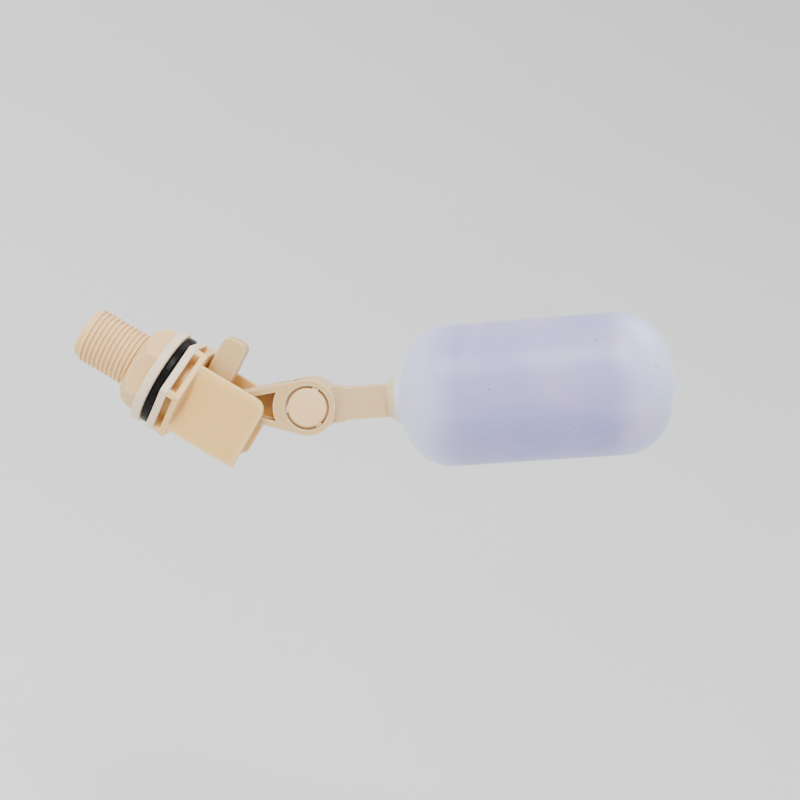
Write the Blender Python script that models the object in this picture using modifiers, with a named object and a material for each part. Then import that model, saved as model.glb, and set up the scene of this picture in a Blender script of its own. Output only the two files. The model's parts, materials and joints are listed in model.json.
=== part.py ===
"""Side-inlet float valve: a threaded plastic body, a lever that shuts its nozzle, and a float on an arm.

Units are metres. X runs along the inlet from the threaded end to the outlet, Z is up.
The origin is on the inlet axis, in the face of the hexagonal flange that the gasket seals against.
"""

import math

import bmesh
import bpy
from mathutils import Matrix, Vector

OBJECT_NAME = "float_valve"

# Clearance left between pieces that touch on the real valve.
GAP = 0.0003
# Extra length that carries a cutting or joining shape past the face it meets.
PAST = 0.001

# Inlet shank with its G1/2 male thread.
SHANK_END_X = -0.0371
THREAD_RADIUS = 0.01048
THREAD_ROOT_RADIUS = 0.0093
THREAD_PITCH = 0.001814
THREAD_START_X = -0.0355
THREAD_TURNS = 18
THREAD_CREST_WIDTH = 0.0005
THREAD_ROOT_WIDTH = 0.0015
THREAD_SUNK = 0.0003
THREAD_STEPS = 24
THREAD_START_ANGLE = math.radians(40.5)
BORE_RADIUS = 0.0070
BORE_END_X = 0.0029
SHANK_END_CHAMFER = 0.0006

# Hexagonal flange: two plates on a round core, with ribs out to the corners.
FLANGE_CORNER_RADIUS = 0.01965
FLANGE_FRONT_PLATE = 0.0029
FLANGE_REAR_PLATE = 0.0023
FLANGE_DEPTH = 0.0077
FLANGE_CORE_RADIUS = 0.0132
FLANGE_RIB = 0.0026
FLANGE_RIB_REACH = 0.01885
FLANGE_EDGE = 0.0004

# Box housing behind the flange: two side plates and a floor.
BOX_END_X = 0.0353
BOX_HALF_HEIGHT = 0.0133
BOX_HALF_WIDTH = 0.01275
SIDE_PLATE = 0.00275
BOX_TOP_CORNER = 0.0045
BOX_REAR_CHAMFER = 0.0030
BOX_EDGE = 0.0004
BOX_CROWN_WIDTH = 0.0032
BOX_CROWN_HEIGHT = 0.0005
FLOOR_LOW_Z = -0.0131
FLOOR_TOP_Z = -0.0110
FLOOR_END_X = 0.0300

# Lock nut: a hexagon with a round flange.
NUT_FREE_X = -0.0147
NUT_FLANGE_X = -0.0070
NUT_SEAL_X = -0.0034
NUT_CORNER_RADIUS = 0.0164
NUT_FLANGE_RADIUS = 0.0185
NUT_FACE_RADIUS = 0.0133
NUT_CHAMFER_X = -0.0113
NUT_EDGE = 0.0008
NUT_BORE_RADIUS = THREAD_RADIUS + 0.0004

# Rubber gasket between the nut and the flange.
GASKET_RADIUS = 0.0175
GASKET_EDGE = 0.0005

# Nozzle insert in the end wall, and the rubber pad that shuts it.
NOZZLE_TIP_X = 0.0092
NOZZLE_HEAD_X = 0.0004
NOZZLE_HEAD_RADIUS = 0.0066
NOZZLE_STEM_RADIUS = 0.0035
NOZZLE_LIP_RADIUS = 0.0022
NOZZLE_LIP_HEIGHT = 0.0012
NOZZLE_HOLE_RADIUS = 0.0015
NOZZLE_FUNNEL_RADIUS = 0.0046
NOZZLE_FUNNEL_X = 0.0040
PAD_RADIUS = 0.0045
PAD_THICKNESS = 0.0024
PAD_PROUD = 0.0008

# Lever: hub, upright with its tab, and a link that ends in a fork.
PIVOT_X = 0.0125
PIVOT_Z = -0.0070
HUB_RADIUS = 0.0034
HUB_HALF_WIDTH = 0.0095
UPRIGHT_HALF_WIDTH = 0.0040
TAB_CENTRE_X = 0.0134
TAB_CENTRE_Z = 0.0195
TAB_TOP_Z = 0.0262
TAB_WIDTH = 0.0093
TAB_CORNER = 0.0030
TAB_LEAN = math.radians(2.6)
TAB_EDGE = 0.0006
BOSS_RADIUS = 0.0060
BOSS_BACK_X = 0.0145
JOINT_X = 0.0476
JOINT_Z = 0.0190
LINK_ANGLE = math.radians(29.4)
LINK_TAPER = math.radians(12.9)
LINK_LENGTH = 0.0340
LINK_HALF_WIDTH = 0.0070
LINK_RIB = 0.0022
LINK_WEB_HALF = 0.0012
LINK_EDGE = 0.0005
EAR_RADIUS = 0.0102
FORK_RADIUS = EAR_RADIUS + 0.0007
FORK_HALF_GAP = 0.0036
RECESS_ARC_RADIUS = 0.0126
RECESS_END = 0.0320

# Pivot pin, pushed in from the rear plate and blind in the front plate.
PIVOT_PIN_RADIUS = 0.0015
PIVOT_HEAD_RADIUS = 0.0029
PIVOT_HEAD = 0.0010
PIVOT_BLIND_DEPTH = 0.0016

# Joint pin: a round button head keyed in the front ear, a plain shank and a split snap end.
HEAD_RADIUS = 0.0071
HEAD_SEAT_RADIUS = 0.0081
HEAD_SEAT_DEPTH = 0.0017
HEAD_PROUD = 0.0004
HEAD_EDGE = 0.0006
HEAD_CROWN = 0.0006
KEY_REACH = 0.0078
KEY_WIDTH = 0.0022
KEY_ANGLES = (97.0, -26.0, -144.0)
JOINT_SHANK_RADIUS = 0.0040
SNAP_RADIUS = 0.0047
SNAP_LIP = 0.0007
SNAP_NOSE = 0.0011
SNAP_SLOT = 0.0016
SNAP_SLOT_DEPTH = 0.0060

# Arm: a disc in the fork, a stepped strap, a flared collar and a spigot. Lengths run from the joint.
ARM_ANGLE = math.radians(35.1)
ARM_DISC_HALF = FORK_HALF_GAP - GAP
ARM_STEP_WIDTH = 0.0136
ARM_STEP_END = 0.0136
STRAP_WIDTH = 0.0120
STRAP_HALF_THICKNESS = 0.0024
FLARE_START = 0.0289
FLARE_RADIUS = 0.0085
FLARE_TOP = 0.0318
COLLAR_END = 0.0325
SPIGOT_RADIUS = 0.0050
SPIGOT_END = 0.0415
SPIGOT_TIP = 0.0008
ARM_EDGE = 0.0005

# Hollow float with an inward neck, and the plug that closes it.
FLOAT_START = COLLAR_END + GAP
FLOAT_END = 0.1315
FLOAT_RADIUS = 0.0255
FLOAT_NEAR_DOME = 0.0180
FLOAT_FAR_DOME = 0.0195
FLOAT_ROUNDNESS = 2.15
FLOAT_WALL = 0.0011
NECK_RADIUS = 0.0074
NECK_END = 0.0445
PLUG_END = SPIGOT_END + 0.0020

CREAM = (0.800, 0.640, 0.445)
PALE_CREAM = (0.820, 0.690, 0.520)
MILKY = (0.600, 0.610, 0.720)
WHITE = (0.780, 0.760, 0.720)
BLACK = (0.012, 0.012, 0.014)

SIDES = 48
FINE_SIDES = 64
DOME_STEPS = 9
ARC_STEPS = 6
SMOOTH_ANGLE = math.radians(32)

LINK_TO_HUB = Vector((-math.cos(LINK_ANGLE), 0, -math.sin(LINK_ANGLE)))
LINK_UP = Vector((-math.sin(LINK_ANGLE), 0, math.cos(LINK_ANGLE)))
PIVOT = Vector((PIVOT_X, 0, PIVOT_Z))
JOINT = Vector((JOINT_X, 0, JOINT_Z))

ALONG_X = Matrix.Rotation(math.radians(90), 4, "Y")
TOWARDS_FRONT = Matrix.Rotation(math.radians(90), 4, "X")


def clear_scene():
    for obj in list(bpy.data.objects):
        bpy.data.objects.remove(obj, do_unlink=True)


def new_collection(name):
    made = bpy.data.collections.new(name)
    bpy.context.scene.collection.children.link(made)
    return made


def principled(name, colour, roughness):
    material = bpy.data.materials.new(name)
    material.use_nodes = True
    shader = material.node_tree.nodes["Principled BSDF"]
    shader.inputs["Base Color"].default_value = (*colour, 1)
    shader.inputs["Roughness"].default_value = roughness
    shader.inputs["Metallic"].default_value = 0.0
    material.diffuse_color = (*colour, 1)
    return material


def tool_object(name, mesh):
    """A shape that cuts or joins another one; it stays in the collection of tools."""
    obj = bpy.data.objects.new(name, mesh)
    obj.hide_render = True
    obj.display_type = "WIRE"
    bpy.data.collections["tools"].objects.link(obj)
    return obj


def mesh_from(name, shape):
    mesh = bpy.data.meshes.new(name)
    shape.to_mesh(mesh)
    shape.free()
    return mesh


def evaluated_mesh(obj, weld=1e-6):
    """The mesh of an object after its modifiers, with loose seams welded and faces turned outward."""
    bpy.context.view_layer.update()
    graph = bpy.context.evaluated_depsgraph_get()
    mesh = bpy.data.meshes.new_from_object(obj.evaluated_get(graph))
    shape = bmesh.new()
    shape.from_mesh(mesh)
    bmesh.ops.remove_doubles(shape, verts=shape.verts, dist=weld)
    bmesh.ops.dissolve_degenerate(shape, dist=weld, edges=shape.edges)
    bmesh.ops.recalc_face_normals(shape, faces=shape.faces)
    shape.to_mesh(mesh)
    shape.free()
    return mesh


def block(name, low, high):
    size = Vector(high) - Vector(low)
    middle = (Vector(high) + Vector(low)) / 2
    shape = bmesh.new()
    bmesh.ops.create_cube(shape, size=1, matrix=Matrix.Translation(middle) @ Matrix.Diagonal((*size, 1)))
    return tool_object(name, mesh_from(name, shape))


def rod(name, radius, start, end, sides=SIDES):
    """A cylinder between two points."""
    axis = Vector(end) - Vector(start)
    turn = axis.to_track_quat("Z", "Y").to_matrix().to_4x4()
    place = Matrix.Translation((Vector(end) + Vector(start)) / 2) @ turn
    shape = bmesh.new()
    bmesh.ops.create_cone(
        shape, cap_ends=True, segments=sides, radius1=radius, radius2=radius, depth=axis.length, matrix=place
    )
    return tool_object(name, mesh_from(name, shape))


def hexagon(name, corner_radius, start_x, end_x, first_corner):
    """A hexagonal prism along X, with a corner at the given angle from +Y."""
    middle = Matrix.Translation(((start_x + end_x) / 2, 0, 0))
    place = middle @ ALONG_X @ Matrix.Rotation(first_corner, 4, "Z")
    shape = bmesh.new()
    bmesh.ops.create_cone(
        shape,
        cap_ends=True,
        segments=6,
        radius1=corner_radius,
        radius2=corner_radius,
        depth=end_x - start_x,
        matrix=place,
    )
    return tool_object(name, mesh_from(name, shape))


def round_edges(obj, width, angle=math.radians(40), segments=2):
    bevel = obj.modifiers.new("rounded edges", "BEVEL")
    bevel.width = width
    bevel.segments = segments
    bevel.limit_method = "ANGLE"
    bevel.angle_limit = angle


def arc(centre, radius, start, end, steps=ARC_STEPS):
    """Points of an arc in the XZ plane; the angles are in degrees from +X towards +Z."""
    angles = [math.radians(start + (end - start) * i / steps) for i in range(steps + 1)]
    return [(centre[0] + radius * math.cos(a), centre[1] + radius * math.sin(a)) for a in angles]


def prism(name, outline, low_y, high_y, edge=0.0):
    """A flat outline in the XZ plane, given thickness along Y."""
    curve = bpy.data.curves.new(name, "CURVE")
    curve.dimensions = "2D"
    curve.fill_mode = "BOTH"
    curve.extrude = (high_y - low_y) / 2
    spline = curve.splines.new("POLY")
    spline.points.add(len(outline) - 1)
    for point, (x, z) in zip(spline.points, outline):
        point.co = (x, z, 0, 1)
    spline.use_cyclic_u = True
    flat = tool_object(name + "_outline", curve)
    mesh = evaluated_mesh(flat)
    bpy.data.objects.remove(flat, do_unlink=True)
    mesh.transform(Matrix.Translation((0, (low_y + high_y) / 2, 0)) @ TOWARDS_FRONT)
    solid = tool_object(name, mesh)
    if edge:
        round_edges(solid, edge)
    return solid


def turned(name, profile, place=Matrix(), closed=False, sides=SIDES):
    """A profile of (radius, height) points, outer side from top to bottom, turned about the height axis."""
    shape = bmesh.new()
    points = [shape.verts.new((radius, 0, height)) for radius, height in profile]
    for start, end in zip(points, points[1:]):
        shape.edges.new((start, end))
    if closed:
        shape.edges.new((points[-1], points[0]))
    obj = tool_object(name, mesh_from(name, shape))
    screw = obj.modifiers.new("turned", "SCREW")
    screw.steps = sides
    screw.render_steps = sides
    screw.use_merge_vertices = True
    screw.merge_threshold = 1e-6
    mesh = evaluated_mesh(obj)
    bpy.data.objects.remove(obj, do_unlink=True)
    mesh.transform(place)
    return tool_object(name, mesh)


def boolean(obj, tools, operation):
    for tool in tools:
        step = obj.modifiers.new(f"{operation.lower()} {tool.name}", "BOOLEAN")
        step.operation = operation
        step.solver = "EXACT"
        step.object = tool


def join(obj, *tools):
    boolean(obj, tools, "UNION")


def cut(obj, *tools):
    boolean(obj, tools, "DIFFERENCE")


def node(name, base, material):
    """Turn a finished shape into a named part of the valve, with its own material and shading."""
    mesh = evaluated_mesh(base)
    mesh.name = name
    mesh.materials.clear()
    mesh.materials.append(material)
    mesh.shade_smooth()
    mesh.set_sharp_from_angle(angle=SMOOTH_ANGLE)
    part = bpy.data.objects.new(name, mesh)
    bpy.data.collections[OBJECT_NAME].objects.link(part)
    return part


def put_origin(part, point):
    part.data.transform(Matrix.Translation(-Vector(point)))
    part.location = point


def hang_on(part, parent):
    """Parent a part without moving it."""
    bpy.context.view_layer.update()
    part.parent = parent
    part.matrix_parent_inverse = parent.matrix_world.inverted()


def thread_ridge():
    """The helical ridge of the male thread, closed at both ends, sunk a little into the shank."""
    sunk = THREAD_ROOT_RADIUS - THREAD_SUNK
    flank = (THREAD_ROOT_WIDTH - THREAD_CREST_WIDTH) / (THREAD_RADIUS - THREAD_ROOT_RADIUS)
    sunk_width = THREAD_ROOT_WIDTH + THREAD_SUNK * flank
    shape = bmesh.new()
    profile = [
        (sunk, sunk_width / 2),
        (THREAD_RADIUS, THREAD_CREST_WIDTH / 2),
        (THREAD_RADIUS, -THREAD_CREST_WIDTH / 2),
        (sunk, -sunk_width / 2),
    ]
    points = [shape.verts.new((radius, 0, height)) for radius, height in profile]
    for start, end in zip(points, points[1:] + points[:1]):
        shape.edges.new((start, end))
    obj = tool_object("thread_ridge_profile", mesh_from("thread_ridge", shape))
    screw = obj.modifiers.new("helix", "SCREW")
    screw.steps = THREAD_STEPS
    screw.render_steps = THREAD_STEPS
    screw.iterations = THREAD_TURNS
    screw.screw_offset = THREAD_PITCH
    mesh = evaluated_mesh(obj)
    bpy.data.objects.remove(obj, do_unlink=True)
    shape = bmesh.new()
    shape.from_mesh(mesh)
    bmesh.ops.holes_fill(shape, edges=[edge for edge in shape.edges if edge.is_boundary])
    bmesh.ops.recalc_face_normals(shape, faces=shape.faces)
    shape.to_mesh(mesh)
    shape.free()
    start = Matrix.Rotation(THREAD_START_ANGLE, 4, "Z")
    mesh.transform(Matrix.Translation((THREAD_START_X, 0, 0)) @ ALONG_X @ start)
    return tool_object("thread_ridge", mesh)


def shank():
    profile = [
        (0, PAST),
        (THREAD_ROOT_RADIUS, PAST),
        (THREAD_ROOT_RADIUS, SHANK_END_X + SHANK_END_CHAMFER),
        (THREAD_ROOT_RADIUS - SHANK_END_CHAMFER, SHANK_END_X),
        (0, SHANK_END_X),
    ]
    return turned("shank", profile, ALONG_X)


def flange():
    """Two hexagonal plates on a round core, with a rib out to each corner between them."""
    front = hexagon("flange_front", FLANGE_CORNER_RADIUS, 0, FLANGE_FRONT_PLATE, 0)
    rear_start = FLANGE_DEPTH - FLANGE_REAR_PLATE
    rear = hexagon("flange_rear", FLANGE_CORNER_RADIUS, rear_start, FLANGE_DEPTH, 0)
    round_edges(front, FLANGE_EDGE)
    round_edges(rear, FLANGE_EDGE)
    inside_x = FLANGE_EDGE * 2
    core = rod("flange_core", FLANGE_CORE_RADIUS, (inside_x, 0, 0), (FLANGE_DEPTH - inside_x, 0, 0))
    ribs = []
    for corner in range(3):
        low = (inside_x, -FLANGE_RIB_REACH, -FLANGE_RIB / 2)
        high = (FLANGE_DEPTH - inside_x, FLANGE_RIB_REACH, FLANGE_RIB / 2)
        rib = block(f"flange_rib_{corner}", low, high)
        rib.data.transform(Matrix.Rotation(math.radians(60 * corner), 4, "X"))
        ribs.append(rib)
    return [front, rear, core, *ribs]


def side_plate(name, low_y, high_y, chamfer):
    start_x = FLANGE_DEPTH - FLANGE_REAR_PLATE / 2
    high = BOX_HALF_HEIGHT
    corner = (BOX_END_X - BOX_TOP_CORNER, high - BOX_TOP_CORNER)
    outline = [(start_x, -high)]
    if chamfer:
        outline += [(BOX_END_X - chamfer, -high), (BOX_END_X, -high + chamfer)]
    else:
        outline += [(BOX_END_X, -high)]
    outline += arc(corner, BOX_TOP_CORNER, 0, 90)
    outline += [(start_x, high)]
    outward = 1 if high_y > 0 else -1
    if outward > 0:
        plate = prism(name, outline, low_y, high_y - BOX_CROWN_HEIGHT)
    else:
        plate = prism(name, outline, low_y + BOX_CROWN_HEIGHT, high_y)
    raise_crown(plate, outward)
    round_edges(plate, BOX_EDGE)
    return plate


def raise_crown(plate, outward):
    """Raise the middle of a side plate's outer face, with a shallow slope along its edges."""
    shape = bmesh.new()
    shape.from_mesh(plate.data)
    outer = [face for face in shape.faces if face.normal.y * outward > 0.9]
    bmesh.ops.inset_region(
        shape, faces=outer, thickness=BOX_CROWN_WIDTH, depth=BOX_CROWN_HEIGHT, use_even_offset=True
    )
    shape.to_mesh(plate.data)
    shape.free()


def housing():
    inner = BOX_HALF_WIDTH - SIDE_PLATE
    front = side_plate("front_plate", -BOX_HALF_WIDTH, -inner, 0)
    rear = side_plate("rear_plate", inner, BOX_HALF_WIDTH, BOX_REAR_CHAMFER)
    floor_start = FLANGE_DEPTH - FLANGE_REAR_PLATE / 2
    reach = inner + SIDE_PLATE / 2
    floor = block("floor", (floor_start, -reach, FLOOR_LOW_Z), (FLOOR_END_X, reach, FLOOR_TOP_Z))
    return [front, rear, floor]


def pivot_holes():
    """The hole for the pivot pin: through the rear plate, and blind in the front plate."""
    inner = BOX_HALF_WIDTH - SIDE_PLATE
    start = PIVOT - Vector((0, inner + PIVOT_BLIND_DEPTH, 0))
    end = PIVOT + Vector((0, BOX_HALF_WIDTH + PAST, 0))
    return rod("pivot_hole", PIVOT_PIN_RADIUS + GAP, start, end, 24)


def make_valve_body(material):
    base = shank()
    join(base, thread_ridge(), *flange(), *housing())
    bore = rod("inlet_bore", BORE_RADIUS, (SHANK_END_X - PAST, 0, 0), (BORE_END_X, 0, 0))
    nozzle_hole = rod("nozzle_hole", NOZZLE_STEM_RADIUS + GAP, (0, 0, 0), (FLANGE_DEPTH + PAST, 0, 0))
    cut(base, bore, nozzle_hole, pivot_holes())
    return node("valve_body", base, material)


def make_lock_nut(material):
    base = hexagon("nut_hexagon", NUT_CORNER_RADIUS, NUT_FREE_X, NUT_FLANGE_X + PAST, math.radians(30))
    far = NUT_CORNER_RADIUS + PAST
    chamfer = [
        (far, NUT_SEAL_X),
        (far, NUT_CHAMFER_X + PAST),
        (NUT_CORNER_RADIUS, NUT_CHAMFER_X),
        (NUT_FACE_RADIUS, NUT_FREE_X - PAST / 10),
        (0, NUT_FREE_X - PAST / 10),
    ]
    limits = turned("nut_chamfer", [(0, NUT_SEAL_X), *chamfer], ALONG_X)
    boolean(base, [limits], "INTERSECT")
    flange_profile = [
        (NUT_BORE_RADIUS - PAST, NUT_SEAL_X),
        (NUT_FLANGE_RADIUS - NUT_EDGE, NUT_SEAL_X),
        (NUT_FLANGE_RADIUS - NUT_EDGE * 0.3, NUT_SEAL_X - NUT_EDGE * 0.3),
        (NUT_FLANGE_RADIUS, NUT_SEAL_X - NUT_EDGE),
        (NUT_FLANGE_RADIUS, NUT_FLANGE_X + NUT_EDGE),
        (NUT_FLANGE_RADIUS - NUT_EDGE * 0.3, NUT_FLANGE_X + NUT_EDGE * 0.3),
        (NUT_FLANGE_RADIUS - NUT_EDGE, NUT_FLANGE_X),
        (NUT_BORE_RADIUS - PAST, NUT_FLANGE_X),
    ]
    join(base, turned("nut_flange", flange_profile, ALONG_X, closed=True, sides=FINE_SIDES))
    cut(base, rod("nut_bore", NUT_BORE_RADIUS, (NUT_FREE_X - PAST, 0, 0), (NUT_SEAL_X + PAST, 0, 0)))
    return node("lock_nut", base, material)


def make_gasket(material):
    front = -GAP
    rear = NUT_SEAL_X + GAP
    profile = [
        (NUT_BORE_RADIUS, front),
        (GASKET_RADIUS - GASKET_EDGE, front),
        (GASKET_RADIUS, front - GASKET_EDGE),
        (GASKET_RADIUS, rear + GASKET_EDGE),
        (GASKET_RADIUS - GASKET_EDGE, rear),
        (NUT_BORE_RADIUS, rear),
    ]
    return node("gasket", turned("gasket_ring", profile, ALONG_X, closed=True, sides=FINE_SIDES), material)


def make_seat_nozzle(material):
    shoulder_x = BORE_END_X - GAP
    profile = [
        (NOZZLE_HOLE_RADIUS, NOZZLE_TIP_X),
        (NOZZLE_LIP_RADIUS, NOZZLE_TIP_X),
        (NOZZLE_STEM_RADIUS, NOZZLE_TIP_X - NOZZLE_LIP_HEIGHT),
        (NOZZLE_STEM_RADIUS, shoulder_x),
        (NOZZLE_HEAD_RADIUS, shoulder_x),
        (NOZZLE_HEAD_RADIUS, NOZZLE_HEAD_X),
        (NOZZLE_FUNNEL_RADIUS, NOZZLE_HEAD_X),
        (NOZZLE_HOLE_RADIUS, NOZZLE_FUNNEL_X),
    ]
    return node("seat_nozzle", turned("nozzle", profile, ALONG_X, closed=True), material)


def make_seal_pad(material):
    front = NOZZLE_TIP_X + GAP
    pad = rod("pad", PAD_RADIUS, (front, 0, 0), (front + PAD_THICKNESS, 0, 0))
    round_edges(pad, PAD_PROUD / 3)
    return node("seal_pad", pad, material)


def upright():
    """The lever's upright: a straight bar from the hub up to the round-cornered tab, leaning a little."""
    half = TAB_WIDTH / 2
    top = TAB_TOP_Z - TAB_CENTRE_Z
    foot = PIVOT_Z - TAB_CENTRE_Z
    heel = foot - HUB_RADIUS * 0.9
    outline = [(half, -TAB_CENTRE_Z)]
    outline += arc((half - TAB_CORNER, top - TAB_CORNER), TAB_CORNER, 0, 90)
    outline += arc((-half + TAB_CORNER, top - TAB_CORNER), TAB_CORNER, 90, 180)
    outline += [(-half, foot), (-half + HUB_RADIUS, heel)]
    bar = prism("upright", outline, -UPRIGHT_HALF_WIDTH, UPRIGHT_HALF_WIDTH, TAB_EDGE)
    lean = Matrix.Rotation(-TAB_LEAN, 4, "Y")
    bar.data.transform(Matrix.Translation((TAB_CENTRE_X, 0, TAB_CENTRE_Z)) @ lean)
    return bar


def link_half_width(distance):
    """Half the width of the link at this distance from the joint."""
    return EAR_RADIUS / math.cos(LINK_TAPER) - distance * math.tan(LINK_TAPER)


def link_point(distance, height):
    """A point of the link, from its distance to the joint and its height over the centre line."""
    point = JOINT + LINK_TO_HUB * distance + LINK_UP * height
    return (point.x, point.z)


def link_bar():
    """The tapered link with the round ear at its end."""
    centre = (JOINT_X, JOINT_Z)
    lower_tangent = math.degrees(LINK_ANGLE - LINK_TAPER) - 90
    upper_tangent = math.degrees(LINK_ANGLE + LINK_TAPER) + 90
    outline = arc(centre, EAR_RADIUS, lower_tangent, upper_tangent, ARC_STEPS * 5)
    end = link_half_width(LINK_LENGTH)
    outline += [link_point(LINK_LENGTH, end), link_point(LINK_LENGTH, -end)]
    return prism("link", outline, -LINK_HALF_WIDTH, LINK_HALF_WIDTH, LINK_EDGE)


def link_recess(name, low_y, high_y):
    """The hollow between the link's edge ribs, ending in an arc around the joint."""
    near = RECESS_ARC_RADIUS
    reach = math.degrees(math.asin((link_half_width(near) - LINK_RIB) / near))
    towards_hub = 180 + math.degrees(LINK_ANGLE)
    outline = arc((JOINT_X, JOINT_Z), near, towards_hub - reach, towards_hub + reach, ARC_STEPS * 2)
    end = link_half_width(RECESS_END) - LINK_RIB
    outline += [link_point(RECESS_END, -end), link_point(RECESS_END, end)]
    return prism(name, outline, low_y, high_y)


def make_lever(material):
    base = link_bar()
    across = Vector((0, HUB_HALF_WIDTH, 0))
    hub = rod("hub", HUB_RADIUS, PIVOT - across, PIVOT + across)
    boss_front_x = NOZZLE_TIP_X + GAP + PAD_PROUD
    boss = rod("pad_boss", BOSS_RADIUS, (boss_front_x, 0, 0), (BOSS_BACK_X, 0, 0))
    join(base, upright(), hub, boss)
    outside = LINK_HALF_WIDTH + PAST
    recesses = [
        link_recess("front_recess", -outside, -LINK_WEB_HALF),
        link_recess("rear_recess", LINK_WEB_HALF, outside),
    ]
    fork = Vector((0, FORK_HALF_GAP, 0))
    slot = rod("fork_slot", FORK_RADIUS, JOINT - fork, JOINT + fork)
    through = Vector((0, outside, 0))
    joint_hole = rod("joint_hole", JOINT_SHANK_RADIUS + GAP, JOINT - through, JOINT + through)
    seat_bottom = Vector((0, LINK_HALF_WIDTH - HEAD_SEAT_DEPTH, 0))
    head_seat = rod("head_seat", HEAD_SEAT_RADIUS, JOINT - through, JOINT - seat_bottom, FINE_SIDES)
    pivot_hole = rod("hub_hole", PIVOT_PIN_RADIUS + GAP, PIVOT - across * 1.2, PIVOT + across * 1.2, 24)
    pad_bottom = NOZZLE_TIP_X + GAP + PAD_THICKNESS + GAP
    pocket = rod("pad_pocket", PAD_RADIUS + GAP, (boss_front_x - PAST, 0, 0), (pad_bottom, 0, 0))
    cut(base, *recesses, slot, joint_hole, head_seat, pivot_hole, pocket)
    lever = node("lever", base, material)
    put_origin(lever, PIVOT)
    return lever


def make_pivot_pin(material):
    """Turned pin with a small head outside the rear plate."""
    head_start = BOX_HALF_WIDTH + GAP
    tip = -(BOX_HALF_WIDTH - SIDE_PLATE + PIVOT_BLIND_DEPTH - GAP)
    profile = [
        (0, -tip),
        (PIVOT_PIN_RADIUS - GAP, -tip),
        (PIVOT_PIN_RADIUS, -tip - GAP),
        (PIVOT_PIN_RADIUS, -head_start),
        (PIVOT_HEAD_RADIUS, -head_start),
        (PIVOT_HEAD_RADIUS, -head_start - PIVOT_HEAD + GAP),
        (PIVOT_HEAD_RADIUS - GAP, -head_start - PIVOT_HEAD),
        (0, -head_start - PIVOT_HEAD),
    ]
    pin = node("pivot_pin", turned("pivot_pin_turning", profile, TOWARDS_FRONT, sides=24), material)
    pin.location = PIVOT
    return pin


def make_joint_pin(material):
    """Button head with three keys, plain shank, and a split nose that snaps behind the rear ear."""
    face = LINK_HALF_WIDTH + HEAD_PROUD
    under = LINK_HALF_WIDTH - HEAD_SEAT_DEPTH + GAP
    lip = -(LINK_HALF_WIDTH + GAP)
    profile = [
        (0, face + HEAD_CROWN),
        (HEAD_RADIUS * 0.5, face + HEAD_CROWN * 0.75),
        (HEAD_RADIUS - HEAD_EDGE, face),
        (HEAD_RADIUS - HEAD_EDGE * 0.3, face - HEAD_EDGE * 0.3),
        (HEAD_RADIUS, face - HEAD_EDGE),
        (HEAD_RADIUS, under),
        (JOINT_SHANK_RADIUS, under),
        (JOINT_SHANK_RADIUS, lip),
        (SNAP_RADIUS, lip - GAP),
        (SNAP_RADIUS, lip - SNAP_LIP),
        (JOINT_SHANK_RADIUS - GAP * 2, lip - SNAP_LIP - SNAP_NOSE),
        (0, lip - SNAP_LIP - SNAP_NOSE),
    ]
    base = turned("joint_pin_turning", profile, sides=FINE_SIDES)
    keys = []
    for number, angle in enumerate(KEY_ANGLES):
        low = (HEAD_RADIUS - HEAD_EDGE, -KEY_WIDTH / 2, under + GAP / 2)
        high = (KEY_REACH, KEY_WIDTH / 2, face - HEAD_PROUD - GAP)
        key = block(f"key_{number}", low, high)
        key.data.transform(Matrix.Rotation(math.radians(angle), 4, "Z"))
        keys.append(key)
    join(base, *keys)
    slot_low = (-SNAP_RADIUS * 2, -SNAP_SLOT / 2, lip - SNAP_LIP - SNAP_NOSE - PAST)
    slot_high = (SNAP_RADIUS * 2, SNAP_SLOT / 2, lip + SNAP_SLOT_DEPTH)
    cut(base, block("snap_slot", slot_low, slot_high))
    pin = node("joint_pin", base, material)
    pin.data.transform(TOWARDS_FRONT)
    pin.location = JOINT
    return pin


def arm_outline():
    """The arm's flat outline, with the joint at its origin and the float along +Z."""
    half_step = ARM_STEP_WIDTH / 2
    half_strap = STRAP_WIDTH / 2
    side = math.degrees(math.asin(half_step / EAR_RADIUS))
    outline = arc((0, 0), EAR_RADIUS, 90 + side, 450 - side, ARC_STEPS * 7)
    fall = (half_step - half_strap) * 1.5
    outline += [(half_step, ARM_STEP_END - fall), (half_strap, ARM_STEP_END)]
    outline += [(half_strap, COLLAR_END - GAP), (-half_strap, COLLAR_END - GAP)]
    outline += [(-half_strap, ARM_STEP_END), (-half_step, ARM_STEP_END - fall)]
    return outline


def make_arm(material):
    base = prism("arm_strap", arm_outline(), -STRAP_HALF_THICKNESS, STRAP_HALF_THICKNESS, ARM_EDGE)
    across = Vector((0, ARM_DISC_HALF, 0))
    disc = rod("arm_disc", EAR_RADIUS, -across, across, FINE_SIDES)
    round_edges(disc, ARM_EDGE)
    profile = [
        (0, SPIGOT_END),
        (SPIGOT_RADIUS - SPIGOT_TIP, SPIGOT_END),
        (SPIGOT_RADIUS, SPIGOT_END - SPIGOT_TIP),
        (SPIGOT_RADIUS, COLLAR_END),
        (FLARE_RADIUS, COLLAR_END),
        (FLARE_RADIUS, FLARE_TOP),
        (STRAP_WIDTH / 2 - GAP, FLARE_START),
        (0, FLARE_START),
    ]
    collar = turned("arm_collar", profile, sides=FINE_SIDES)
    join(base, disc, collar)
    hole_end = Vector((0, ARM_DISC_HALF + PAST, 0))
    cut(base, rod("arm_hole", JOINT_SHANK_RADIUS + GAP, -hole_end, hole_end))
    return node("arm", base, material)


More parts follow.
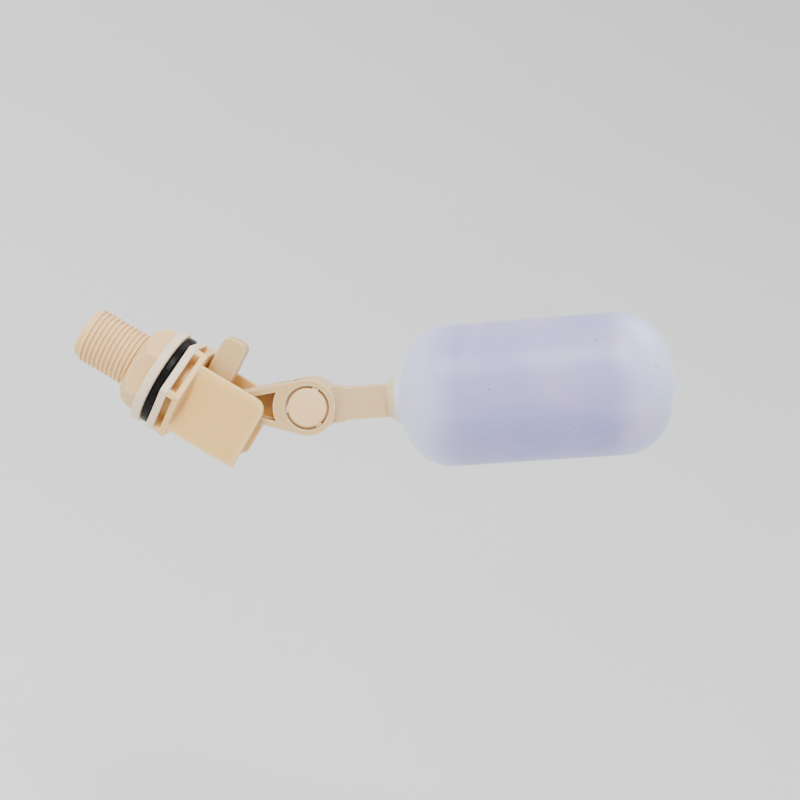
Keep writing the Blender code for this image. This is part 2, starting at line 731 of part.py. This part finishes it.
def dome(radius, depth, steps=DOME_STEPS):
    """Points of a rounded end, as (radius, depth below the tip), from the tip out to the full radius."""
    points = []
    for i in range(steps + 1):
        angle = math.radians(90) * i / steps
        out = radius * math.sin(angle) ** (2 / FLOAT_ROUNDNESS)
        fall = depth * (1 - math.cos(angle) ** (2 / FLOAT_ROUNDNESS))
        points.append((out, fall))
    return points


def float_wall(inset):
    """One side of the float's wall from its far tip to its neck, moved inward by the inset."""
    radius = FLOAT_RADIUS - inset
    far = [(r, FLOAT_END - inset - fall) for r, fall in dome(radius, FLOAT_FAR_DOME - inset)]
    near = [(r, FLOAT_START + inset + fall) for r, fall in dome(radius, FLOAT_NEAR_DOME - inset)]
    rim = NECK_RADIUS + inset
    return far + [point for point in reversed(near) if point[0] > rim + GAP]


def make_float_shell(material):
    rim = NECK_RADIUS + FLOAT_WALL
    profile = float_wall(0)
    profile += [(NECK_RADIUS, FLOAT_START), (NECK_RADIUS, NECK_END), (rim, NECK_END)]
    profile += [(rim, FLOAT_START + FLOAT_WALL)]
    profile += reversed(float_wall(FLOAT_WALL))
    return node("float_shell", turned("float_wall", profile), material)


def make_float_plug(material):
    outer = NECK_RADIUS - GAP
    mouth = FLOAT_START
    bore = SPIGOT_RADIUS + GAP
    floor = SPIGOT_END + GAP
    profile = [
        (0, PLUG_END),
        (outer - GAP, PLUG_END),
        (outer, PLUG_END - GAP),
        (outer, mouth),
        (bore, mouth),
        (bore, floor),
        (0, floor),
    ]
    return node("float_plug", turned("plug", profile), material)


def make_arm_frame():
    """An empty on the joint's axis; its local Z runs along the arm to the float."""
    frame = bpy.data.objects.new("arm_frame", None)
    frame.empty_display_size = EAR_RADIUS
    bpy.data.collections[OBJECT_NAME].objects.link(frame)
    frame.location = JOINT
    frame.rotation_euler = (0, math.radians(90) - ARM_ANGLE, 0)
    return frame


def main():
    clear_scene()
    new_collection(OBJECT_NAME)
    new_collection("tools")
    make_valve_body(principled("body_cream", CREAM, 0.42))
    make_seat_nozzle(principled("nozzle_white", WHITE, 0.38))
    make_gasket(principled("gasket_rubber", BLACK, 0.45))
    make_lock_nut(principled("nut_cream", CREAM, 0.42))
    make_pivot_pin(principled("pivot_pin_white", WHITE, 0.38))
    lever = make_lever(principled("lever_cream", CREAM, 0.42))
    hang_on(make_seal_pad(principled("pad_rubber", BLACK, 0.55)), lever)
    hang_on(make_joint_pin(principled("joint_pin_cream", PALE_CREAM, 0.40)), lever)
    frame = make_arm_frame()
    hang_on(frame, lever)
    arm = make_arm(principled("arm_cream", PALE_CREAM, 0.42))
    shell = make_float_shell(principled("float_milky", MILKY, 0.30))
    plug = make_float_plug(principled("plug_white", WHITE, 0.40))
    for part in (arm, shell, plug):
        part.parent = frame


main()
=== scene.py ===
"""Looks of the float valve: moulded cream plastic, black rubber and a milky blow-moulded float."""

import json
import math

import bmesh
import bpy
from mathutils import Matrix, Vector


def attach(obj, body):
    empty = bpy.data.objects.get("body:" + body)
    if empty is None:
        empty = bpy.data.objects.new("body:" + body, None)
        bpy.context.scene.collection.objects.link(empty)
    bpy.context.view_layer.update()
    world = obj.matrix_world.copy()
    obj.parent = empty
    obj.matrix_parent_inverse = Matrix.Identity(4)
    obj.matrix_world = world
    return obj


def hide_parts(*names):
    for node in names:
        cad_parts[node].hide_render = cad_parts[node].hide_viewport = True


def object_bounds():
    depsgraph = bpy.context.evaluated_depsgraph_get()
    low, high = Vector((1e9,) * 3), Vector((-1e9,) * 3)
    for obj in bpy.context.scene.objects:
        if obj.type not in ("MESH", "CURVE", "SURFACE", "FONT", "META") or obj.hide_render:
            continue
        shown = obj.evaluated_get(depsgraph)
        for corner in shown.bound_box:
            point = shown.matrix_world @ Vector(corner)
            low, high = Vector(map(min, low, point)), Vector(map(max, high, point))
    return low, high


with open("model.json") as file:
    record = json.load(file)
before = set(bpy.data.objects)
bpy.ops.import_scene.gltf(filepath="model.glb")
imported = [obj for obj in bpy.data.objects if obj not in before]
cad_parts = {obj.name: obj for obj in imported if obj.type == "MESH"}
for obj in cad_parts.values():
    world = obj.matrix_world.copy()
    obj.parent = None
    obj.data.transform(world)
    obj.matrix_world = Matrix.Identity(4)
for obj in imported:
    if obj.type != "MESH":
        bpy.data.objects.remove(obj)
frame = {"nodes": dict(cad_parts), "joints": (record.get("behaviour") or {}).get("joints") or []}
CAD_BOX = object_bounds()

MM = 0.001

# The arm's direction above +X, and the float's shape along the arm, as the CAD solid has them.
# ROUNDNESS is the exponent of the rounded ends, where 2 is an ellipse.
ARM_ANGLE = math.radians(35.1)
FLOAT_START = 32.8 * MM
FLOAT_END = 131.5 * MM
FLOAT_RADIUS = 25.5 * MM
NEAR_DOME = 18.0 * MM
FAR_DOME = 19.5 * MM
ROUNDNESS = 2.15
NECK_RADIUS = 7.4 * MM
NECK_DEPTH = 3.0 * MM
WALL = 1.1 * MM
DOME_STEPS = 40
FLOAT_TURN_STEPS = 144

# A low ring round the neck, which the arm's collar sits on.
RING_RADIUS = 8.9 * MM
RING_TOP = 32.49 * MM
RING_ROUNDING = WALL / 5

# The parting line left by the mould: a fine bead over the far end, which is lower at its last few points.
SEAM_REACH = 20.5 * MM
SEAM_HALF_WIDTH = 0.28 * MM
SEAM_HEIGHT = 0.13 * MM
SEAM_TURN = math.radians(12)
SEAM_RISE_POINTS = 4
# Its cross-section, in half widths across the bead and heights out from the float's surface.
SEAM_SECTION = [(-1.0, -1.0), (-0.75, 0.6), (0.0, 1.0), (0.75, 0.6), (1.0, -1.0)]

MERGE_DISTANCE = 1e-6
SHARP_ANGLE = math.radians(40)

# The zone along the inlet axis, from just behind the flange to past the box, where the side plates have
# the tone of their middle.
PLATES_START = 7.9 * MM
PLATES_END = 36 * MM

# Colours. Those for the recesses are painted shade, those for the edges a painted highlight, and PALE is the
# tint of the whiter zones.
CREAM = (0.85, 0.545, 0.190)
CREAM_RECESS_SHADE = (0.50, 0.215, 0.008)
CREAM_EDGE_HIGHLIGHT = (0.95, 0.80, 0.58)
CREAM_PALE = (0.80, 0.70, 0.55)
BODY_RECESS_SHADE = (0.64, 0.35, 0.075)
PLATE_MIDDLE = (0.80, 0.480, 0.135)
NUT = (0.78, 0.50, 0.210)
LEVER = (0.66, 0.44, 0.185)
ARM = (0.64, 0.455, 0.225)
PIN = (0.86, 0.57, 0.28)
PIN_RECESS_SHADE = (0.74, 0.46, 0.15)
PIN_EDGE_HIGHLIGHT = (0.88, 0.64, 0.36)
WHITE = (0.85, 0.83, 0.78)
WHITE_RECESS_SHADE = (0.60, 0.48, 0.32)
RUBBER = (0.002, 0.0018, 0.002)
RUBBER_BLOOM = (0.010, 0.009, 0.010)
# The float's straight middle varies between the first two.
FLOAT_BLUER = (0.325, 0.320, 0.610)
FLOAT_PINKER = (0.400, 0.365, 0.620)
FLOAT_ENDS = (0.78, 0.75, 1.0)
CLOUD_PINK = (0.84, 0.54, 0.72)
CLOUD_BLUE = (0.46, 0.62, 0.96)
SPECK = (0.22, 0.20, 0.20)
FLOOR_TONES = ((0.78, 0.78, 0.78), (0.80, 0.80, 0.80))

# Factors on a plastic's colour, between which it is mottled.
WARMER = (1.01, 0.97, 0.90)
COOLER = (1.0, 1.03, 1.08)

# How the moulded plastic is shaded: how far a wall counts for the painted recess shade, how wide the painted
# edge highlight is, how round its edges look, and how strong each tint is where it applies.
RECESS_REACH = 7 * MM
EDGE_HIGHLIGHT_WIDTH = 0.8 * MM
EDGE_ROUNDING = 0.35 * MM
EDGE_HIGHLIGHT_STRENGTH = 0.75
PALE_STRENGTH = 0.75
TIP_STRENGTH = 0.8
# What is left of the painted recess shade where it is weak.
CALM_REMAINDER = 0.15
SHALLOW_REMAINDER = 0.4
# Half the width of a zone's soft border.
ZONE_SOFTNESS = 0.25 * MM
# Most of a noise's values lie between these two.
NOISE_LOW = 0.3
NOISE_HIGH = 0.7
# The whiter tint fades out this far in from each end of the float.
END_FADE = 23.0 * MM

# Camera: the inlet axis points down to the right of the picture. Distances are in metres, the sensor in mm.
ROLL = math.radians(30.4)
CAMERA_AZIMUTH = math.radians(1.4)
CAMERA_ELEVATION = math.radians(8.7)
CAMERA_DISTANCE = 0.56
PICTURE_WIDTH = 0.2899
SENSOR = 36.0
AIM_FROM_MIDDLE = Vector((12.6, 0, -6.8)) * MM

# Backdrop: a round floor that curves up into a wall, all one surface.
FLOOR_DROP = 0.20
FLOOR_RADIUS = 0.4
CURVE_RADIUS = 2.2
CURVE_STEPS = 24
WALL_HEIGHT = 0.4
FLOOR_TURN_STEPS = 96

# The fill light's colour, and the even light from all round.
FILL_TINT = (0.92, 0.95, 1.0)
SKY = (0.93, 0.95, 1.0)
SKY_STRENGTH = 0.85


def joint_position(name):
    for joint in frame["joints"]:
        if joint["name"] == name:
            return Vector(joint["pos_m"])


JOINT = joint_position("arm_angle")
ARM_PLACE = Matrix.Translation(JOINT) @ Matrix.Rotation(math.radians(90) - ARM_ANGLE, 4, "Y")
ARM_AXIS = Vector((math.cos(ARM_ANGLE), 0, math.sin(ARM_ANGLE)))
ARM_UP = Vector((-math.sin(ARM_ANGLE), 0, math.cos(ARM_ANGLE)))


class Nodes:
    """A new material with short calls for making and linking its nodes."""

    def __init__(self, name):
        self.material = bpy.data.materials.new(name)
        self.material.use_nodes = True
        self.tree = self.material.node_tree
        self.shader = self.tree.nodes["Principled BSDF"]

    def add(self, kind, **settings):
        made = self.tree.nodes.new(kind)
        for key, value in settings.items():
            setattr(made, key, value)
        return made

    def link(self, source, target):
        self.tree.links.new(source, target)

    def feed(self, target, value):
        """Link a socket to another one, or give it a plain colour, a vector or a number."""
        if isinstance(value, bpy.types.NodeSocket):
            self.link(value, target)
        elif isinstance(value, tuple):
            target.default_value = (*value, 1)
        else:
            target.default_value = value

    def set(self, **values):
        for key, value in values.items():
            self.feed(self.shader.inputs[key.replace("_", " ")], value)

    def coordinates(self):
        return self.add("ShaderNodeTexCoord").outputs["Object"]

    def axis_value(self, axis):
        split = self.add("ShaderNodeSeparateXYZ")
        self.link(self.coordinates(), split.inputs[0])
        return split.outputs[axis]

    def dot(self, first, second):
        made = self.add("ShaderNodeVectorMath", operation="DOT_PRODUCT")
        self.feed(made.inputs[0], first)
        self.feed(made.inputs[1], second)
        return made.outputs["Value"]

    def along(self, direction):
        """The distance along a direction, from the object's own origin."""
        return self.dot(self.coordinates(), direction)

    def maths(self, operation, *values):
        made = self.add("ShaderNodeMath", operation=operation)
        for target, value in zip(made.inputs, values):
            self.feed(target, value)
        return made.outputs["Value"]

    def plus(self, first, second):
        return self.maths("ADD", first, second)

    def times(self, first, second):
        return self.maths("MULTIPLY", first, second)

    def remap(self, value, low, high, to_low=0.0, to_high=1.0):
        made = self.add("ShaderNodeMapRange")
        made.inputs["From Min"].default_value = low
        made.inputs["From Max"].default_value = high
        made.inputs["To Min"].default_value = to_low
        made.inputs["To Max"].default_value = to_high
        self.link(value, made.inputs["Value"])
        return made.outputs["Result"]

    def mix(self, factor, first, second):
        """Mix two colours, each a socket or a plain colour, by a factor that is a socket or a number."""
        made = self.add("ShaderNodeMix", data_type="RGBA")
        self.feed(made.inputs[0], factor)
        self.feed(made.inputs[6], first)
        self.feed(made.inputs[7], second)
        return made.outputs[2]

    def noise(self, scale, detail, roughness=0.5, place=None):
        made = self.add("ShaderNodeTexNoise")
        made.inputs["Scale"].default_value = scale
        made.inputs["Detail"].default_value = detail
        made.inputs["Roughness"].default_value = roughness
        self.link(place or self.coordinates(), made.inputs["Vector"])
        return made.outputs["Fac"]

    def spread(self, scale, detail, low=0.0, high=1.0):
        """Noise that is spread out between two values."""
        return self.remap(self.noise(scale, detail), NOISE_LOW, NOISE_HIGH, low, high)

    def streaks(self, scale, detail, stretch):
        """Noise that is drawn out along the float."""
        place = self.add("ShaderNodeCombineXYZ")
        self.link(self.times(self.along(ARM_AXIS), 1 / stretch), place.inputs[0])
        self.link(self.along(ARM_UP), place.inputs[1])
        self.link(self.along(Vector((0, 1, 0))), place.inputs[2])
        return self.noise(scale, detail, place=place.outputs["Vector"])

    def zone(self, start, end):
        """1 between two places along the inlet axis, and 0 elsewhere."""
        place = self.axis_value("X")
        rise = self.remap(place, start - ZONE_SOFTNESS, start + ZONE_SOFTNESS)
        fall = self.remap(place, end - ZONE_SOFTNESS, end + ZONE_SOFTNESS, 1, 0)
        return self.times(rise, fall)

    def outer_faces(self, start, end):
        """0 up to one distance from the middle plane between the side plates, and 1 from the other on."""
        return self.remap(self.maths("ABSOLUTE", self.axis_value("Y")), start, end)

    def arm_ramp(self, start, end, to_low, to_high):
        """A ramp between two distances from the joint along the arm, from one value to another."""
        joint_place = JOINT.dot(ARM_AXIS)
        return self.remap(self.along(ARM_AXIS), joint_place + start, joint_place + end, to_low, to_high)

    def openness(self, distance):
        """Low where walls are near, and 1 in the open."""
        made = self.add("ShaderNodeAmbientOcclusion", samples=8)
        made.inputs["Distance"].default_value = distance
        return made.outputs["AO"]

    def rounded_normal(self, radius):
        made = self.add("ShaderNodeBevel", samples=6)
        made.inputs["Radius"].default_value = radius
        return made.outputs["Normal"]

    def edges(self, radius):
        """1 on the edges of the surface and 0 on its flats."""
        surface = self.add("ShaderNodeNewGeometry").outputs["Normal"]
        return self.remap(self.dot(self.rounded_normal(radius), surface), 0.995, 0.90)

    def bump(self, height, distance, normal):
        made = self.add("ShaderNodeBump")
        made.inputs["Distance"].default_value = distance
        self.link(height, made.inputs["Height"])
        self.link(normal, made.inputs["Normal"])
        self.link(made.outputs["Normal"], self.shader.inputs["Normal"])


def tinted(colour, factors):
    return tuple(min(c * f, 1) for c, f in zip(colour, factors))


def moulded_plastic(
    name,
    colour,
    recess_shade,
    edge_highlight,
    shift=0.0,
    shade_openness=(0.40, 0.80),
    calm=None,
    pale=None,
    plates=None,
    shallow=None,
    tip=None,
):
    """Satin translucent plastic, faintly mottled and grained, with warmer painted shade in its recesses and a
    paler painted highlight on its edges.

    The recesses take the painted shade colour between the two openness values of shade_openness. Both calm,
    where that painted shade is weak, and pale, where the plastic is whiter, are zones (start, end) along the
    inlet axis. The side plates turn to the middle tone between the two distances of plates, and the painted
    recess shade is weak outside those of shallow. The end of the arm turns whiter between the two distances
    of tip along it. A different shift gives each piece its own mottling.
    """
    make = Nodes(name)
    base = make.mix(make.spread(55 + shift, 4), tinted(colour, WARMER), tinted(colour, COOLER))
    if pale:
        base = make.mix(make.times(make.zone(*pale), PALE_STRENGTH), base, CREAM_PALE)
    if plates:
        behind_flange = make.zone(PLATES_START, PLATES_END)
        base = make.mix(make.times(make.outer_faces(*plates), behind_flange), base, PLATE_MIDDLE)
    if tip:
        base = make.mix(make.arm_ramp(*tip, 0, TIP_STRENGTH), base, CREAM_PALE)
    # Painted shade: the recess colour is mixed in where walls are near, standing in for shade and for light
    # bounced around in the recesses.
    depth = make.remap(make.openness(RECESS_REACH), *shade_openness, 1, 0)
    if calm:
        depth = make.times(depth, make.remap(make.zone(*calm), 0, 1, 1, CALM_REMAINDER))
    if shallow:
        depth = make.times(depth, make.remap(make.outer_faces(*shallow), 0, 1, 1, SHALLOW_REMAINDER))
    shaded = make.mix(depth, base, recess_shade)
    # Painted highlight: the edge colour is laid on the rounded edges, standing in for the light they catch.
    edge_highlight_mask = make.remap(make.edges(EDGE_HIGHLIGHT_WIDTH), 0, 1, 0, EDGE_HIGHLIGHT_STRENGTH)
    make.set(
        Base_Color=make.mix(edge_highlight_mask, shaded, edge_highlight),
        Roughness=make.spread(420, 3, 0.34, 0.50),
        Specular_IOR_Level=0.45,
        Subsurface_Weight=0.25,
        Subsurface_Scale=1.5 * MM,
        Subsurface_Radius=Vector((1.0, 0.55, 0.25)),
    )
    make.bump(make.noise(1600, 2), 0.02 * MM, make.rounded_normal(EDGE_ROUNDING))
    return make.material


def rubber(name, roughness):
    """Black moulded rubber with a faint grey bloom and fine grain."""
    make = Nodes(name)
    bloom = make.remap(make.noise(180, 5, roughness=0.65), 0.45, 0.8)
    make.set(
        Base_Color=make.mix(bloom, RUBBER, RUBBER_BLOOM),
        Roughness=make.spread(700, 3, roughness - 0.08, roughness + 0.1),
        Specular_IOR_Level=0.10,
    )
    make.bump(make.noise(1300, 3), 0.03 * MM, make.rounded_normal(0.3 * MM))
    return make.material


def milky_float():
    """Blow-moulded float: lavender in its straight middle, whiter on both ends, with faint cloudy tints."""
    make = Nodes("float_milky")
    near = make.arm_ramp(FLOAT_START, FLOAT_START + END_FADE, 1, 0)
    far = make.arm_ramp(FLOAT_END - END_FADE, FLOAT_END, 0, 1)
    ends = make.plus(near, far)
    middle = make.mix(make.remap(make.streaks(95, 4, 5), 0.38, 0.62), FLOAT_BLUER, FLOAT_PINKER)
    body = make.mix(ends, middle, FLOAT_ENDS)
    strength = make.remap(ends, 0, 1, 0.15, 0.55)
    pink = make.times(make.remap(make.noise(44, 2), 0.50, 0.68), strength)
    blue = make.times(make.remap(make.noise(36, 2), 0.50, 0.68), strength)
    cloudy = make.mix(blue, make.mix(pink, body, CLOUD_PINK), CLOUD_BLUE)
    specks = make.remap(make.noise(900, 0), 0.85, 0.865)
    make.set(
        Base_Color=make.mix(specks, cloudy, SPECK),
        Roughness=make.spread(120, 4, 0.38, 0.50),
        Subsurface_Weight=0.6,
        Subsurface_Scale=6 * MM,
        Coat_Weight=0.06,
        Coat_Roughness=0.3,
        Sheen_Weight=0.35,
        Sheen_Roughness=0.35,
    )
    make.bump(make.noise(75, 3), 0.12 * MM, make.rounded_normal(0.2 * MM))
    return make.material


def dress(node, material):
    """Give a CAD node its finished material."""
    part = frame["nodes"][node]
    part.data.materials.clear()
    part.data.materials.append(material)


def dress_nodes():
    dress("valve_body", moulded_plastic(
        "body_cream",
        CREAM,
        BODY_RECESS_SHADE,
        CREAM_EDGE_HIGHLIGHT,
        shade_openness=(0.30, 0.72),
        calm=(-60 * MM, 1.5 * MM),
        pale=(-0.5 * MM, 3.0 * MM),
        plates=(12.35 * MM, 12.75 * MM),
    ))
    dress("lock_nut", moulded_plastic(
        "nut_cream",
        NUT,
        CREAM_RECESS_SHADE,
        CREAM_EDGE_HIGHLIGHT,
        shift=7,
        shade_openness=(0.15, 0.6),
        calm=(-7.2 * MM, 0),
        pale=(-7.2 * MM, 0),
    ))
    dress("lever", moulded_plastic(
        "lever_cream",
        LEVER,
        CREAM_RECESS_SHADE,
        CREAM_EDGE_HIGHLIGHT,
        shift=11,
        shade_openness=(0.38, 0.80),
        shallow=(4.2 * MM, 5.2 * MM),
    ))
    dress("joint_pin", moulded_plastic("joint_pin_cream", PIN, PIN_RECESS_SHADE, PIN_EDGE_HIGHLIGHT, shift=17, shade_openness=(0.2, 0.6)))
    dress("arm", moulded_plastic(
        "arm_cream",
        ARM,
        CREAM_RECESS_SHADE,
        CREAM_EDGE_HIGHLIGHT,
        shift=23,
        shade_openness=(0.2, 0.6),
        tip=(28 * MM, FLOAT_START),
    ))
    white = moulded_plastic("white_plastic", WHITE, WHITE_RECESS_SHADE, WHITE, shift=29)
    for node in ("seat_nozzle", "pivot_pin", "float_plug"):
        dress(node, white)
    dress("gasket", rubber("gasket_rubber", 0.35))
    dress("seal_pad", rubber("pad_rubber", 0.6))


def finished_mesh(name, shape):
    """A smooth-shaded mesh with consistent normals, from a bmesh that is then freed."""
    bmesh.ops.recalc_face_normals(shape, faces=shape.faces)
    mesh = bpy.data.meshes.new(name)
    shape.to_mesh(mesh)
    shape.free()
    mesh.shade_smooth()
    mesh.set_sharp_from_angle(angle=SHARP_ANGLE)
    return mesh


def turned_mesh(name, profile, steps):
    """The surface that a profile, as (radius, height) points, makes when it turns about the Z axis."""
    shape = bmesh.new()
    points = [shape.verts.new((r, 0, z)) for r, z in profile]
    for start, end in zip(points, points[1:]):
        shape.edges.new((start, end))
    bmesh.ops.spin(
        shape,
        geom=shape.verts[:] + shape.edges[:],
        axis=(0, 0, 1),
        cent=(0, 0, 0),
        angle=math.tau,
        steps=steps,
        use_merge=True,
    )
    bmesh.ops.remove_doubles(shape, verts=shape.verts, dist=MERGE_DISTANCE)
    return finished_mesh(name, shape)


def dome(depth):
    """Points of a rounded end, as (radius, depth below the tip), from the tip out to the full radius."""
    points = []
    for i in range(DOME_STEPS + 1):
        angle = math.radians(90) * i / DOME_STEPS
        out = FLOAT_RADIUS * math.sin(angle) ** (2 / ROUNDNESS)
        fall = depth * (1 - math.cos(angle) ** (2 / ROUNDNESS))
        points.append((out, fall))
    return points


def float_profile():
    """The float's outer side from the far tip to the ring at its neck, down the neck, and back up inside."""
    outer = [(r, FLOAT_END - fall) for r, fall in dome(FAR_DOME)]
    near = [(r, FLOAT_START + fall) for r, fall in dome(NEAR_DOME)]
    outer += [point for point in reversed(near) if point[0] > RING_RADIUS]
    ring = [
        (RING_RADIUS, RING_TOP + RING_ROUNDING),
        (RING_RADIUS - RING_ROUNDING, RING_TOP),
        (NECK_RADIUS, RING_TOP),
    ]
    neck = [(NECK_RADIUS, FLOAT_START + NECK_DEPTH), (NECK_RADIUS + WALL, FLOAT_START + NECK_DEPTH)]
    squeeze = 1 - 2 * WALL / (FLOAT_END - FLOAT_START)
    middle = (FLOAT_END + FLOAT_START) / 2
    inner = [(r * (1 - WALL / FLOAT_RADIUS), middle + (z - middle) * squeeze) for r, z in reversed(outer)]
    return outer + ring + neck + inner


def seam_mesh():
    """A bead with a rounded top that follows the far end's curve from one side over the tip to the other."""
    half = [point for point in dome(FAR_DOME) if point[0] < SEAM_REACH]
    path = [Vector((0, -r, FLOAT_END - fall)) for r, fall in reversed(half)]
    path += [Vector((0, r, FLOAT_END - fall)) for r, fall in half[1:]]
    shape = bmesh.new()
    rings = []
    for i, point in enumerate(path):
        along = (path[min(i + 1, len(path) - 1)] - path[max(i - 1, 0)]).normalized()
        outward = Vector((1, 0, 0)).cross(along)
        from_end = min(i, len(path) - 1 - i)
        height = SEAM_HEIGHT * min(1.0, (from_end + 1) / SEAM_RISE_POINTS)
        ring = []
        for across, up in SEAM_SECTION:
            sideways = Vector((across * SEAM_HALF_WIDTH, 0, 0))
            ring.append(shape.verts.new(point + sideways + outward * up * height))
        rings.append(ring)
    for first, second in zip(rings, rings[1:]):
        for i, corner in enumerate(first):
            after = (i + 1) % len(first)
            shape.faces.new((corner, first[after], second[after], second[i]))
    shape.faces.new(rings[0])
    shape.faces.new(rings[-1])
    return finished_mesh("float_seam", shape)


def make_float():
    """The float's moulding, in place of its CAD solid, and the parting line on it."""
    material = milky_float()
    moulding = turned_mesh("float_moulding", float_profile(), FLOAT_TURN_STEPS)
    moulding.transform(ARM_PLACE)
    seam = seam_mesh()
    seam.transform(ARM_PLACE @ Matrix.Rotation(SEAM_TURN, 4, "Z"))
    for mesh in (moulding, seam):
        mesh.materials.append(material)
        piece = bpy.data.objects.new(mesh.name, mesh)
        bpy.context.scene.collection.objects.link(piece)
        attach(piece, "arm")
    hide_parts("float_shell")


def backdrop_profile():
    """The round floor, a quarter turn up, and the wall, as (distance from the middle, height)."""
    points = [(0.0, 0.0), (FLOOR_RADIUS, 0.0)]
    for i in range(1, CURVE_STEPS + 1):
        angle = math.radians(90) * i / CURVE_STEPS
        points.append((FLOOR_RADIUS + CURVE_RADIUS * math.sin(angle), CURVE_RADIUS * (1 - math.cos(angle))))
    points.append((FLOOR_RADIUS + CURVE_RADIUS, CURVE_RADIUS + WALL_HEIGHT))
    return points


def make_floor(middle):
    """A wide pale floor that curves up all round, under the valve, which hangs in the air from its shank."""
    make = Nodes("floor_paint")
    make.set(Base_Color=make.mix(make.spread(3, 2), *FLOOR_TONES), Roughness=0.9, Specular_IOR_Level=0.2)
    mesh = turned_mesh("floor", backdrop_profile(), FLOOR_TURN_STEPS)
    mesh.materials.append(make.material)
    floor = bpy.data.objects.new("floor", mesh)
    floor.location = (middle.x, middle.y, CAD_BOX[0].z - FLOOR_DROP)
    bpy.context.scene.collection.objects.link(floor)


def area_light(name, aim, direction, distance, size, power, colour=(1, 1, 1)):
    data = bpy.data.lights.new(name, "AREA")
    data.shape = "DISK"
    data.size = size
    data.energy = power
    data.color = colour
    light = bpy.data.objects.new(name, data)
    light.location = aim + direction.normalized() * distance
    light.rotation_euler = direction.to_track_quat("Z", "Y").to_euler()
    bpy.context.scene.collection.objects.link(light)


def make_lights(aim):
    area_light("key", aim, Vector((-0.45, -0.8, 1.0)), distance=1.6, size=0.8, power=34)
    area_light("fill", aim, Vector((0.7, -1.0, -0.1)), distance=1.6, size=1.2, power=12, colour=FILL_TINT)
    area_light("top", aim, Vector((0.1, 0.4, 1.0)), distance=1.7, size=1.2, power=20)
    world = bpy.data.worlds.new("studio")
    world.use_nodes = True
    background = world.node_tree.nodes["Background"]
    background.inputs["Color"].default_value = (*SKY, 1)
    background.inputs["Strength"].default_value = SKY_STRENGTH
    bpy.context.scene.world = world


def make_camera(aim):
    """A camera in front of the side plate, a little above, rolled so that the inlet axis points down."""
    back = Vector((
        math.sin(CAMERA_AZIMUTH) * math.cos(CAMERA_ELEVATION),
        -math.cos(CAMERA_AZIMUTH) * math.cos(CAMERA_ELEVATION),
        math.sin(CAMERA_ELEVATION),
    ))
    up = Vector((-math.sin(ROLL), 0, math.cos(ROLL)))
    right = up.cross(back).normalized()
    up = back.cross(right)
    data = bpy.data.cameras.new("camera")
    data.sensor_width = SENSOR
    data.lens = SENSOR * CAMERA_DISTANCE / PICTURE_WIDTH
    data.dof.use_dof = False
    camera = bpy.data.objects.new("camera", data)
    turn = Matrix((right, up, back)).transposed().to_4x4()
    camera.matrix_world = Matrix.Translation(aim + back * CAMERA_DISTANCE) @ turn
    bpy.context.scene.collection.objects.link(camera)
    bpy.context.scene.camera = camera


aim_point = (CAD_BOX[0] + CAD_BOX[1]) / 2 + AIM_FROM_MIDDLE
make_camera(aim_point)
make_lights(aim_point)
make_floor(aim_point)
dress_nodes()
make_float()
